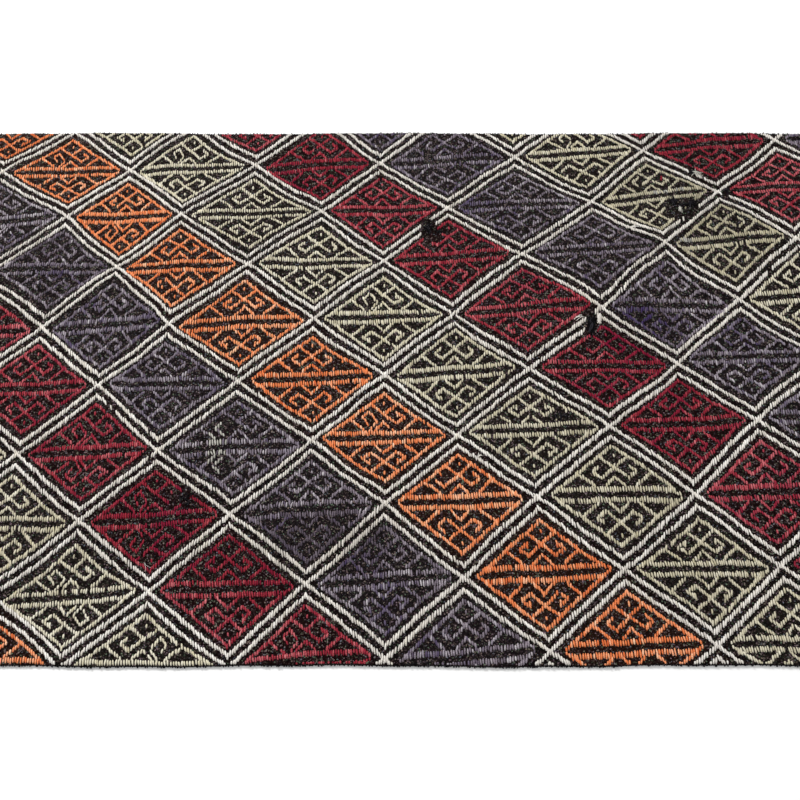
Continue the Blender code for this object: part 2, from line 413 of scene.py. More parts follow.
# %% Colours and finishes
def colour(red, green, blue):
    """A colour given as it looks on a screen, 0 to 255, as Blender's shaders want it."""
    shares = (value / 255 for value in (red, green, blue))
    return (*((s / 12.92 if s <= 0.04045 else ((s + 0.055) / 1.055) ** 2.4) for s in shares), 1)


def new_material(name, roughness, specular=0.5):
    """A plain finish, and the bench of its tree."""
    material = bpy.data.materials.new(name)
    material.use_nodes = True
    shader = material.node_tree.nodes["Principled BSDF"]
    shader.inputs["Roughness"].default_value = roughness
    shader.inputs["Specular IOR Level"].default_value = specular
    return material, Bench(material.node_tree)


def dress(material, bench, body, height, strength, distance):
    """Gives a material its colour and its bump."""
    sockets = {"Strength": strength, "Distance": distance, "Height": height}
    bump = bench.node("ShaderNodeBump", None, sockets)
    shader = material.node_tree.nodes["Principled BSDF"]
    material.node_tree.links.new(body.socket, shader.inputs["Base Color"])
    material.node_tree.links.new(bump.socket, shader.inputs["Normal"])
    return material


print("Half grey on a screen, as light:", round(colour(128, 128, 128)[0], 3))

# %% [markdown]
# ## Wool
#
# Wool is matt, a little fuzzy and never one colour: each float takes the dye differently, and
# fine hairs catch the light. Three tones are given for each yarn, and the float's own random
# `shade` picks among them. The ends and sides of a float are darkened towards a fourth, darkest
# tone: painted shade, standing in for the shadow where the float dives into the ground and meets
# its neighbours. `cast` is a second dye that some floats lean to. Two yarns are twisted together,
# which shows as slanting ridges along the float: a bump, with painted shade in the grooves and a
# painted highlight on the ridges.

# %% Yarn colours
# The first tone of each yarn is painted shade, for a float's ends and sides; the next three are the
# yarn's own tones, and the last is its second dye.
YARN_COLUMNS = ("yarn", "deep", "dark", "middle", "light", "cast")
YARNS = (
    ("ivory", (112, 106, 100), (188, 182, 174), (227, 221, 213), (250, 247, 241), (230, 220, 192)),
    ("orange", (124, 54, 32), (198, 89, 48), (236, 134, 80), (250, 211, 177), (236, 188, 138)),
    ("sage", (88, 83, 70), (157, 150, 126), (204, 196, 173), (239, 234, 216), (214, 203, 158)),
    ("madder", (50, 10, 18), (104, 24, 40), (156, 45, 58), (214, 124, 128), (116, 12, 52)),
    ("plum", (34, 28, 34), (82, 73, 82), (137, 126, 136), (206, 200, 203), (66, 52, 92)),
    ("grey", (64, 62, 60), (142, 140, 134), (190, 187, 178), (226, 223, 214), (176, 172, 152)),
    ("black", (2, 2, 2), (8, 7, 8), (16, 14, 16), (52, 50, 56), (24, 28, 36)),
)
FINENESS = {"madder": 0.94, "plum": 0.95}  # finer yarns make slimmer lines
CAST_SPREADS = {"plum": 0.20}  # how much the cast differs from float to float
SHADE_SPREADS = {"ivory": 0.15, "sage": 0.11, "plum": 0.15}
CAST_REGIONS = {"madder": 2.0, "plum": 2.4}  # and from one part of the cloth to another
BLEEDS = {"orange": 0.016, "sage": 0.010, "madder": 0.020, "plum": 0.030}  # dye in the ground
PLY_TURNS = 4200  # radians of twist in a metre of float
PLY_SLANT = 3.2  # radians across a float
FUZZ_SCALE, PATCH_SCALE, REGION_SCALE = 1500, 9, 17  # fibres, patches of shade and of cast


def wool(yarn, deep, dark, middle, light, cast):
    """The finish of one yarn."""
    material, bench = new_material("wool_" + yarn, 0.88, 0.04)
    within = bench.node("ShaderNodeSeparateXYZ", None, {0: bench.attribute("within", "Vector")})
    across_float, along_float = within.out("X"), within.out("Y")
    place = bench.node("ShaderNodeTexCoord").out("Object")
    fuzz = bench.noise(place, FUZZ_SCALE, 3)
    patch = bench.noise(place, PATCH_SCALE)
    twist = along_float * bench.attribute("long", "Fac") * PLY_TURNS + across_float * PLY_SLANT
    ply_bump_and_shade = twist.maths("SINE")
    # The twist's sine also darkens the grooves between plies and lightens their ridges: painted
    # shade and painted highlight, beside the bump.
    tone = bench.attribute("shade", "Fac") + 0.8 * (fuzz - 0.5) + 0.35 * (patch - 0.5) + 0.07 * ply_bump_and_shade
    body = bench.ramp(tone, (0.12, dark), (0.5, middle), (0.88, light))
    turned = (bench.noise(place, REGION_SCALE) - 0.5) * CAST_REGIONS.get(yarn, 0.4)
    cast_share = (bench.attribute("cast", "Fac") + turned).maths("MAXIMUM", 0.0)
    tinted = bench.mix(cast_share.maths("MINIMUM", 1.0), body, colour(*cast))
    # Painted shade: the ends and sides of a float are darkened towards the darkest tone, where
    # shadow falls as it dives into the ground and meets its neighbours.
    end = (along_float * along_float * 3.6).maths("POWER", 2.0)
    side = (across_float * across_float * 4.0).maths("POWER", 1.5)
    painted_shade_share = (end + side).maths("MINIMUM", 1.0)
    with_painted_shade = bench.mix(painted_shade_share * 0.9, tinted, colour(*deep))
    return dress(material, bench, with_painted_shade, ply_bump_and_shade * 0.5 + fuzz * 1.2, 0.45, 0.0003)


wools = {row["yarn"]: wool(**row) for row in named_rows(YARN_COLUMNS, YARNS)}
print("Yarns:", ", ".join(wools))

# %% [markdown]
# ## The chart
#
# A weaver keeps the pattern in mind as a count of yarns. Here it is a table of straight
# lines in one quarter of a diamond, with its middle at 0, 0. Mirrored twice, they give the whole
# motif. Each kind of line has its own style: how tall its floats are, how wide, how high they
# stand off the ground, how far they lean towards the line that they follow, and the share that
# is left out, where a dark gap shows.

# %% The motif, a quarter of it
LINE_COLUMNS = ("style", "x0", "y0", "x1", "y1")
MOTIF = (
    ("tip", 0.418, 0.004, 0.386, 0.026),
    ("outline", 0.386, 0.026, 0.362, 0.046),
    ("outline", 0.362, 0.046, 0.236, 0.147),
    ("outline", 0.236, 0.147, 0.096, 0.264),
    ("outline", 0.096, 0.264, 0.000, 0.345),
    ("bar", 0.000, 0.038, 0.376, 0.038),
    ("hook", 0.000, 0.120, 0.066, 0.055),
    ("hook", 0.232, 0.148, 0.128, 0.058),
    ("hook", 0.088, 0.264, 0.000, 0.190),
    ("dot", -0.0079, 0.275, 0.0080, 0.275),
)
HOOKS = {
    "i": (  # turns inwards
        ("hook", 0.000, 0.192, 0.085, 0.117),
        ("hook", 0.085, 0.117, 0.142, 0.156),
        ("hook", 0.144, 0.158, 0.092, 0.199),
        ("tongue", 0.100, 0.178, 0.088, 0.175),
    ),
    "t": (  # turned about, and rooted in the bar
        ("hook", 0.100, 0.050, 0.043, 0.129),
        ("hook", 0.043, 0.129, 0.100, 0.204),
        ("hook", 0.100, 0.204, 0.143, 0.164),
        ("hook", 0.143, 0.164, 0.107, 0.107),
    ),
    "b": (  # broken in two
        ("hook", 0.000, 0.187, 0.100, 0.112),
        ("hook", 0.100, 0.112, 0.155, 0.160),
        ("hook", 0.140, 0.240, 0.106, 0.192),
    ),
    "c": (  # only an arrow head
        ("hook", 0.098, 0.190, 0.150, 0.138),
        ("hook", 0.150, 0.138, 0.088, 0.080),
    ),
    "a": (  # an arrow head beside a short arm
        ("hook", 0.000, 0.187, 0.075, 0.124),
        ("hook", 0.092, 0.208, 0.146, 0.160),
        ("hook", 0.146, 0.160, 0.098, 0.112),
    ),
}
STYLE_COLUMNS = ("style", "tall", "wide", "rise", "lean", "gaps")  # mm but for lean and gaps
STYLES = (
    ("lattice", 7.0, 1.88, 1.20, 14, 0.0),
    ("outline", 6.1, 1.96, 0.95, 12, 0.005),
    ("tip", 4.4, 1.90, 0.90, 8, 0.0),
    ("bar", 6.2, 1.84, 0.90, 1, 0.01),
    ("hook", 5.6, 1.98, 0.90, 12, 0.005),
    ("tongue", 4.4, 1.90, 0.90, 2, 0.0),
    ("dot", 4.8, 1.90, 0.95, 0, 0.0),
)
LEAN_LEFT = 4.0  # degrees; every float leans a little to the left
styles = {row["style"]: row for row in named_rows(STYLE_COLUMNS, STYLES)}
print("Lines in a quarter motif:", len(MOTIF) + len(HOOKS["i"]))

# %% [markdown]
# The diamonds change colour in slanting stripes, so a stripe's number picks its yarn. The
# lattice has two lines on each side of a diamond. The upper one starts on the crossing, and the
# lower one ends on the next crossing, which gives the small nested points at each crossing.

# %% The lattice and its colours
LINE_APART = 0.082
FOUR_YARNS = ("orange", "sage", "madder", "plum")
STRIPE_YARNS = FOUR_YARNS * 3 + FOUR_YARNS[1:] + FOUR_YARNS  # once, the orange was left out
STRIPES = dict(zip(range(8, -11, -1), STRIPE_YARNS))


def crossing(i, j):
    """Crossing of the lattice's i-th line that leans right with its j-th that leans left."""
    return (i - j) / 2, -(i + j) / 2


print("Stripes:", len(STRIPES))

# %% [markdown]
# No two diamonds came out alike. For those that the photo shows, a table says how far the motif
# sits from the middle of its space, how its bars tilt and bow, how much paler its yarn is, and
# how each hook turns: upper left, upper right, lower left, lower right. The others are left to
# chance.

# %% How each diamond came out
HALF_MOTIF = 0.41
TONE_SPREAD, DYE_SPREAD = 0.05, 0.08
UP_SPREAD, TILT_SPREAD, BOW_SPREAD = 0.006, 0.025, 0.006
HOOK_CHANCES = "iiiiiiiitb"  # most of them turn inwards
BY_HAND_COLUMNS = ("i", "j", "up", "tilt", "bow", "paler", "hooks")
BY_HAND = (
    (-5, 0, -0.013, 0, 0, 0, "tiii"), (-4, -1, -0.018, 0.04, 0, 0.13, "tiii"),
    (-4, 0, -0.004, 0.02, 0, -0.06, "iiti"), (-4, 1, 0.015, -0.05, 0, -0.06, "iiii"),
    (-3, -2, -0.02, 0.07, 0, -0.05, "iiii"), (-3, -1, -0.006, 0.01, 0.008, 0.11, "iiii"),
    (-3, 0, -0.011, 0.02, 0.01, 0, "iiii"), (-3, 1, 0.006, 0.07, -0.01, -0.08, "iiii"),
    (-2, -3, -0.014, 0, 0, -0.05, "iiii"), (-2, -2, 0.008, 0, -0.016, 0.08, "iiii"),
    (-2, -1, -0.009, -0.01, 0, 0.11, "iiii"), (-2, 0, -0.027, 0.01, 0.014, 0, "iiii"),
    (-2, 1, 0.005, -0.03, 0, 0, "iiii"), (-2, 2, 0.004, 0.03, 0, 0, "titi"),
    (-1, -3, -0.01, 0.01, 0.004, 0, "iiii"), (-1, -2, 0.008, 0.02, 0, 0, "iiii"),
    (-1, -1, 0.002, 0, -0.022, 0.11, "tiii"), (-1, 0, 0, 0, 0.002, 0, "iiii"),
    (-1, 1, -0.008, -0.02, 0, 0, "cici"), (-1, 2, -0.008, 0.04, 0, -0.08, "titi"),
    (-1, 3, -0.017, 0.08, 0, 0.06, "tiit"), (0, -4, 0.002, 0.04, 0, -0.14, "aiii"),
    (0, -3, 0.008, -0.04, 0, -0.04, "iiii"), (0, -2, 0.007, 0.02, 0, 0.05, "iiii"),
    (0, -1, -0.001, 0.04, 0, 0.02, "iiii"), (0, 0, 0.01, -0.01, 0.005, 0.02, "tiii"),
    (0, 1, -0.004, 0, 0, 0, "iiii"), (0, 2, 0.001, -0.02, -0.005, -0.08, "iiii"),
    (1, -4, 0.006, 0.04, 0, -0.13, "iaii"), (1, -3, -0.021, -0.08, 0, 0.03, "iiii"),
    (1, -2, -0.007, -0.04, 0, 0, "iiii"), (1, -1, -0.003, -0.02, 0, -0.06, "iiii"),
    (1, 0, 0.004, -0.01, -0.01, 0.03, "biai"), (1, 1, -0.008, 0.02, 0.01, -0.04, "iiii"),
    (2, -3, 0.02, 0, -0.012, 0, "iiii"), (2, -2, 0.003, -0.01, 0, -0.04, "iiii"),
    (2, -1, -0.003, -0.02, 0.003, -0.05, "iiii"), (2, 0, -0.001, 0.01, -0.007, -0.06, "iiii"),
    (3, -2, -0.004, 0, 0, 0.08, "iiii"), (3, -1, -0.006, -0.02, -0.013, -0.05, "iiii"),
    (1, -5, 0, 0, 0, 0.15, "iiii"), (-3, 2, 0.012, 0, 0, 0.02, "iiii"),
)  # fmt: skip
by_hand = {(row["i"], row["j"]): row for row in named_rows(BY_HAND_COLUMNS, BY_HAND)}
print("Diamonds set by hand:", len(by_hand))

# %% [markdown]
# ## Wear and mends
#
# The rug is old. In some places floats are gone and the dark ground shows, in some another yarn
# was sewn in, and in a few a tuft of black wool fills a hole. Each row of `WORN` is an
# oval on the pattern and says which yarn shows there, and how surely.

# %% Where floats are gone or mended
WORN_COLUMNS = ("along", "across", "half_along", "half_across", "share", "becomes")  # halves: mm
WORN = (
    (0.354, 1.275, 7.5, 17, 0.97, None),  # under the first black tuft
    (0.430, 1.250, 4.0, 5, 0.70, None),
    (1.420, 0.368, 6.0, 15, 0.97, None),  # under the second
    (1.395, 0.160, 5.0, 5, 0.60, None),
    (0.500, 0.505, 1.3, 4, 0.90, None),
    (2.182, 1.337, 2.2, 3, 1.00, "grey"),
    (2.205, 1.345, 17, 15, 0.86, None),  # the felted smear on a sage diamond
    (2.255, 1.300, 8.0, 7, 1.00, None),
    (2.065, 1.520, 9.0, 5, 0.75, "grey"),
    (2.220, 1.520, 9.0, 4, 0.50, "grey"),
    (2.161, 1.035, 7.0, 4, 0.75, "grey"),
    (2.579, 0.972, 6.0, 6, 0.55, None),
    (2.072, 1.696, 4.2, 3, 1.00, "madder"),
    (2.335, 1.725, 2.6, 5, 1.00, None),
    (2.420, 1.665, 2.6, 5, 0.70, None),
    (2.575, 1.475, 4.5, 8, 0.95, None),
    (2.769, 0.754, 2.0, 6, 1.00, None),
    (0.648, -0.698, 1.6, 5, 0.80, None),
    (0.856, -0.018, 3.0, 7, 0.80, None),
    (1.170, -0.410, 9.0, 6, 0.65, None),
    (1.330, -0.490, 6.0, 6, 0.45, None),
    (-0.330, 0.090, 7.0, 6, 0.80, None),
    (-1.911, -0.161, 1.3, 5, 1.00, None),
    (-1.865, -0.190, 1.1, 4, 1.00, None),
    (-1.570, -0.380, 1.2, 5, 1.00, None),
    (-1.550, -0.570, 1.1, 4, 1.00, None),
    (-1.310, -0.860, 12, 7, 0.80, None),
    (-1.510, -1.250, 6.0, 4, 0.70, None),
    (-2.000, 0.740, 4.5, 5, 0.90, None),
    (0.374, 2.051, 6.0, 6, 0.70, None),
    (-1.130, -0.500, 7.5, 27, 0.93, "grey"),
    (-2.250, -1.500, 1.0, 9, 1.00, None),
    (-2.070, -1.500, 1.0, 10, 1.00, None),
    (-2.010, -1.490, 1.4, 10, 1.00, None),
    (-1.930, -1.480, 1.0, 9, 1.00, None),
    (-1.880, -1.475, 1.0, 9, 1.00, None),
)
WORN_SPOTS = named_rows(WORN_COLUMNS, WORN)
print("Worn places:", len(WORN))

# %% [markdown]
# Each row of the table below is a soft oval that changes the shade of the floats in it and the
# share of the second dye. In some of them the dye has paled, and in some it turned; the others are
# painted shade and painted light: the darker and paler sides of shallow folds in the cloth, which
# its sheet doesn't have. A few diamonds were woven loosely, and `LOOSE` says how much more their
# floats stray.

# %% Faded places, painted fold shade and light, and loosely woven places
FADE_AND_SHADE_COLUMNS = ("along", "across", "half_along", "half_across", "paler", "cast")  # halves in mm
# Besides paled and turned dye, many of these rows paint the shade and light of shallow folds.
FADES_AND_FOLD_SHADE = (
    (-0.45, -1.2, 75, 34, -0.38, 0), (-0.1, -1.3, 40, 28, -0.14, 0),
    (1.8, 0.28, 46, 44, -0.22, 0.5), (1.75, 0.42, 18, 10, -0.1, 0.4), (0.66, 0.5, 22, 12, 0.15, 0),
    (-2.75, 1.25, 46, 24, -0.22, 0.3), (2, 1.05, 50, 24, -0.16, 0), (2.32, 1.3, 30, 26, -0.16, 0),
    (-1.5, -1.9, 150, 70, 0.28, 0), (-2.5, -0.7, 40, 40, 0.22, 0), (-2.6, 0.4, 30, 40, 0.14, 0),
    (-1.12, -1.26, 18, 12, -0.18, 0), (-0.64, -1.18, 16, 12, -0.14, 0),
    (-2.36, 0.68, 16, 12, 0.16, 0), (-2.42, -0.58, 14, 12, 0.14, 0), (-1.5, -0.74, 18, 12, 0.16, 0),
    (-2.08, -1.15, 16, 12, 0.15, 0), (-0.58, 1.88, 14, 12, 0.14, 0), (1.38, 0.26, 14, 10, -0.14, 0),
    (-1.3, -0.46, 12, 10, 0.14, 0), (-1.57, -1.5, 16, 14, 0.14, 0), (-1.56, -1.1, 14, 12, 0.13, 0),
    (2.04, -0.18, 16, 12, -0.14, 0), (1.85, -1.08, 14, 12, -0.14, 0),
    (-0.4, -1.42, 20, 12, 0.15, 0), (-0.3, -1.72, 14, 12, 0.13, 0), (-1.84, -0.68, 14, 10, 0.12, 0),
)  # fmt: skip
FADE_AND_SHADE_SPOTS = named_rows(FADE_AND_SHADE_COLUMNS, FADES_AND_FOLD_SHADE)
IVORY_FADE_AND_SHADE = 0.7  # how much of this the undyed ivory takes
LOOSE = {
    (1, -3): 1.6, (0, -3): 1.3, (-1, -3): 1.5, (-2, -3): 1.4, (2, -3): 1.7,
    (-4, 1): 1.5, (-3, 1): 1.6, (-2, 1): 1.6, (-1, 1): 1.3, (0, 1): 1.5, (1, 1): 1.5,
}  # fmt: skip


def within_oval(oval, along, across):
    """1 in the middle of an oval, 0 on its rim, and less outside it."""
    east = 1000 * DIAMOND_WIDTH * (along - oval["along"]) / oval["half_along"]
    north = 1000 * DIAMOND_HEIGHT * (across - oval["across"]) / oval["half_across"]
    return 1 - east * east - north * north


def fade_and_fold_shade(yarn, along, across):
    """How much paler the floats are here, and how much more of the second dye they have."""
    paler = cast = 0.0
    for fade in FADE_AND_SHADE_SPOTS:
        weight = max(0.0, within_oval(fade, along, across))
        # Many rows paint the shade and light of shallow folds; the others are fading and turned
        # dye.
        paler += weight * fade["paler"]
        cast += weight * fade["cast"]
    return (IVORY_FADE_AND_SHADE * paler, 0.0) if yarn == "ivory" else (paler, cast)


def worn_yarn(yarn, along, across):
    """The yarn that shows here, or none, after wear and mending."""
    for spot in WORN_SPOTS:
        if within_oval(spot, along, across) > 0 and rng.random() < spot["share"]:
            return spot["becomes"]
    return yarn


print("Faded and dark places:", len(FADES_AND_FOLD_SHADE))

# %% [markdown]
# ## The loom
#
# `Loom` lays floats along lines, one on every pick. No float is quite like the next, so each
# draws its own length, lean, place, width, rise and shade. Neighbours crowd together and draw
# apart in turn, because a pick that was beaten too far pushes the next one.

# %% The loom
CROWDING_KEPT = 0.75  # share of one pick's wandering that the next one keeps
CROWDING_SPREAD = 0.00022  # m
ACROSS_SPREAD = 0.00038  # m
LEAN_SPREAD = 4.5  # degrees
TALL_SPREAD = RISE_SPREAD = 0.12  # shares
WIDE_SPREAD = 0.09
USUAL_SPREAD = 0.12  # of the shade and the cast


class Loom:
    """Holds the floats of every yarn: each has two ends on the pattern and its own looks."""

    def __init__(self):
        self.rows = {yarn: [] for yarn in wools}
        self.crowding = 0.0  # m; how far the picks have wandered along the warp
        self.loose = 1.0  # how much more than usual the floats stray

    def stitch(self, yarn, along, across, style, lean, shade, cast):
        yarn = worn_yarn(yarn, along, across)
        if yarn is None:
            return
        # Fading, turned dye, and the painted shade and light of folds
        paler, turned = fade_and_fold_shade(yarn, along, across)
        cast += turned
        tall = style["tall"] * FINENESS.get(yarn, 1) * rng.normal(1, TALL_SPREAD * self.loose)
        lean = math.radians(lean - LEAN_LEFT + rng.normal(0, LEAN_SPREAD * self.loose))
        top_along = math.sin(lean) * tall / 2000 / DIAMOND_WIDTH
        top_across = math.cos(lean) * tall / 2000 / DIAMOND_HEIGHT
        self.crowding = CROWDING_KEPT * self.crowding + rng.normal(0, CROWDING_SPREAD)
        along += self.crowding / DIAMOND_WIDTH
        across += rng.normal(0, ACROSS_SPREAD * self.loose) / DIAMOND_HEIGHT
        self.rows[yarn].append(
            (
                along - top_along,
                across - top_across,
                along + top_along,
                across + top_across,
                style["wide"] * rng.normal(1, WIDE_SPREAD),
                style["rise"] * rng.normal(1, RISE_SPREAD),
                shade + paler + rng.normal(0, SHADE_SPREADS.get(yarn, USUAL_SPREAD)),
                min(1.0, max(0.0, cast + rng.normal(0, CAST_SPREADS.get(yarn, USUAL_SPREAD)))),
            )
        )

    def line(self, yarn, style, start, end, shade, cast, kinks=False):
        """One float on every pick between two points."""
        if start[0] > end[0]:
            start, end = end, start
        rise = (end[1] - start[1]) / max(end[0] - start[0], 1e-9)
        lean = style["lean"] * np.clip(rise, -1, 1)
        for pick in range(math.ceil(start[0] * PICKS), math.ceil(end[0] * PICKS)):
            if rng.random() < style["gaps"]:
                continue
            along = pick / PICKS
            across = start[1] + rise * (along - start[0])
            if kinks:
                across += kinked(along, across)
            self.stitch(yarn, along, across, style, lean, shade, cast)


loom = Loom()
print("The loom holds", len(loom.rows), "yarns")

# %% [markdown]
# The lines of the lattice have small kinks of their own, which the motifs beside them don't
# share. A row of `KINKS` pushes the line at one place.

# %% A side of the lattice
KINK_COLUMNS = ("along", "across", "push_across")  # diamonds, mm
KINK_REACH = 0.17
KINKS = (
    (1.1, 0.85, 3.5), (-2.1, 0.85, 3), (1.9, 1.1, 3), (-1.9, 0.85, 2.5), (-0.1, -0.15, 3),
    (2.1, 0.85, -3), (1.9, -0.15, -3), (-1.1, 1.1, -3), (0.4, -1.4, -3), (0.6, 1.6, -2.5),
    (-2.9, 2.1, 2.5), (-2.1, 2.1, -2.5), (-1.75, -1.3, 2.5), (1.25, -0.3, -2.5), (-2.25, 0.7, 2.5),
    (-1.6, 0.6, 2.5), (-0.4, -0.65, 2), (2.1, 1.1, 2), (1.6, 0.6, -2), (0.6, -0.65, -2),
    (2.4, 0.35, 2), (2.4, -0.4, -2), (1.6, -1.4, -2), (0.62, 0.35, -3), (0.9, 1.1, -2.5),
    (0.6, 0.6, 2), (1.75, 0.7, 2), (1.25, 0.7, -2),
)  # fmt: skip
KINK_SPOTS = named_rows(KINK_COLUMNS, KINKS)


def kinked(along, across):
    """How far a line of the lattice is pushed here, in diamonds."""
    push = 0
    for kink in KINK_SPOTS:
        away = math.hypot(along - kink["along"], across - kink["across"])
        push += kink["push_across"] * math.exp(-((away / KINK_REACH) ** 2))
    return push / 1000 / DIAMOND_HEIGHT


def weave_side(loom, upper, lower):
    """The double line from a crossing down to the next one."""
    for start, end in (
        (upper, (lower[0], lower[1] + LINE_APART)),
        ((upper[0], upper[1] - LINE_APART), lower),
    ):
        loom.line("ivory", styles["lattice"], start, end, 0.5, 0.0, kinks=True)


print("Kinks in the lattice:", len(KINKS))

# %% [markdown]
# A motif sits in the middle of its space. The chart is turned over, sideways and up and down, to
# give its four quarters, and each takes its own form of hook. What the hand did to the motif is
# added on the way: a shift up or down, a tilt and a bow.

# %% A motif
QUARTERS = ((-1, 1), (1, 1), (-1, -1), (1, -1))  # right, up


def weave_motif(loom, i, j):
    """The barred and hooked diamond under crossing (i, j)."""
    yarn = STRIPES.get(j, "plum")
    top, bottom = crossing(i, j), crossing(i + 1, j + 1)
    middle = top[0], (top[1] + bottom[1]) / 2
    tone = 0.5 + rng.normal(0, TONE_SPREAD)
    cast = abs(rng.normal(0, DYE_SPREAD))
    up, tilt, bow = (rng.normal(0, spread) for spread in (UP_SPREAD, TILT_SPREAD, BOW_SPREAD))
    hooks = rng.choice(list(HOOK_CHANCES), 4)
    if (i, j) in by_hand:
        up, tilt, bow, paler, hooks = (by_hand[i, j][name] for name in BY_HAND_COLUMNS[2:])
        tone = 0.5 + paler
    loom.loose = LOOSE.get((i, j), 1.0)
    for (right_side, upper_side), kind in zip(QUARTERS, hooks):
        for row in named_rows(LINE_COLUMNS, MOTIF + HOOKS[kind]):
            if row["style"] == "dot" and right_side < 0:
                continue  # it sits in the middle, so one side's is enough
            ends = []
            for x, y in ((row["x0"], row["y0"]), (row["x1"], row["y1"])):
                x, y = x * right_side, y * upper_side
                shift = up + tilt * x + bow * (1 - (x / HALF_MOTIF) ** 2)
                ends.append((middle[0] + x, middle[1] + y + shift))
            loom.line(yarn, styles[row["style"]], *ends, tone, cast)
    loom.loose = 1.0


print("Quarters of a motif:", len(QUARTERS))

# %% [markdown]
# Now the whole cloth is woven, crossing by crossing: the two sides of the lattice that go down
# from it, and the motif between them. It is woven a diamond too far all round, so that every
# edge is full.

# %% Weave the cloth
reach_along = LENGTH / 2 / DIAMOND_WIDTH + 1
reach_across = WIDTH_LEFT / 2 / DIAMOND_HEIGHT + 1
most = math.ceil(reach_along + reach_across)
for i in range(-most, most + 1):
    for j in range(-most, most + 1):
        along, across = crossing(i, j)
        if abs(along) < reach_along and abs(across) < reach_across:
            weave_side(loom, crossing(i, j), crossing(i, j + 1))
            weave_side(loom, crossing(i, j), crossing(i + 1, j))
            weave_motif(loom, i, j)
print({yarn: len(rows) for yarn, rows in loom.rows.items()})

# %% [markdown]
# ## Trimming to the cut length
#
# A float that crosses a cut edge is shortened to it, as scissors would, and what lies outside is
# dropped.

# %% Trim the floats
SHORTEST = 0.0016
COLUMNS = ("x", "y", "turn", "long", "wide", "rise", "shade", "cast")


def inside_by(x, y):
    """How far inside the nearest cut edge a place is."""
    return np.minimum(LENGTH / 2 - np.abs(x), half_width(x) - np.abs(y))


def trimmed(rows):
    """The floats of one yarn on the cloth, as columns."""
    rows = np.array(rows)
    ax, ay = on_cloth(rows[:, 0], rows[:, 1])
    bx, by = on_cloth(rows[:, 2], rows[:, 3])
    in_a, in_b = inside_by(ax, ay), inside_by(bx, by)
    share = in_a / np.where(in_a == in_b, 1, in_a - in_b)
    cut_x, cut_y = ax + share * (bx - ax), ay + share * (by - ay)
    cut_a, cut_b = (in_a < 0) & (in_b > 0), (in_b < 0) & (in_a > 0)
    ax, ay = np.where(cut_a, cut_x, ax), np.where(cut_a, cut_y, ay)
    bx, by = np.where(cut_b, cut_x, bx), np.where(cut_b, cut_y, by)
    long = np.hypot(bx - ax, by - ay)
    kept = ((in_a > 0) | (in_b > 0)) & (long > SHORTEST)
    table = {
        "x": (ax + bx) / 2,
        "y": (ay + by) / 2,
        "turn": np.arctan2(by - ay, bx - ax) - math.pi / 2,
        "long": long,
        "wide": rows[:, 4] / 1000,
        "rise": rows[:, 5] / 1000,
        "shade": rows[:, 6],
        "cast": rows[:, 7],
    }
    return {name: table[name][kept] for name in COLUMNS}


floats = {yarn: trimmed(rows) for yarn, rows in loom.rows.items() if rows}
print({yarn: len(table["x"]) for yarn, table in floats.items()})

# %% [markdown]
# ## One float, many times
#
# Geometry Nodes put the same little solid on every point, turned and stretched by the point's
# own attributes. The two trees of this script start alike, with points or lines and some named
# inputs. They end alike too: any copies are made real, because the export drops instances, and
# the piece takes its finish.

# %% The start and the end of a tree
def new_tree(name, inputs):
    """A Geometry Nodes tree with the geometry and these inputs, and its bench."""
    tree = bpy.data.node_groups.new(name, "GeometryNodeTree")
    tree.interface.new_socket("Points", in_out="INPUT", socket_type="NodeSocketGeometry")
    for label, kind, value in inputs:
        socket = tree.interface.new_socket(label, in_out="INPUT", socket_type=kind)
        if value is not None:
            socket.default_value = value
    tree.interface.new_socket("Made", in_out="OUTPUT", socket_type="NodeSocketGeometry")
    bench = Bench(tree)
    return tree, bench, bench.node("NodeGroupInput")


def end_tree(bench, given, made):
    """Makes the copies real, smooth and of the material given, and hands them out."""
    real = bench.node("GeometryNodeRealizeInstances", None, {"Geometry": made})
    soft = bench.node("GeometryNodeSetShadeSmooth", None, {"Geometry": real})
    dressed = {"Geometry": soft, "Material": given.out("Finish")}
    done = bench.node("GeometryNodeSetMaterial", None, dressed)
    bench.node("NodeGroupOutput", None, {0: done})


print("Trees start with points and end with a finish")

# %% [markdown]
# A float is round above, flat underneath, and its ends dive into the ground. A ball of four
# sides, turned so that one edge is its ridge, is the fewest faces that still look so. The ball is
# squashed and bent by moving its points, and only then copied.

# %% The tree that lays the floats
SHAPE_INPUTS = (
    ("Sides", "NodeSocketInt", 4),
    ("Steps", "NodeSocketInt", 4),
    ("Flat under", "NodeSocketFloat", 0.30),
    ("Shoulder", "NodeSocketFloat", 0.30),
    ("Dive", "NodeSocketFloat", 1.6),
    ("Finish", "NodeSocketMaterial", None),
)


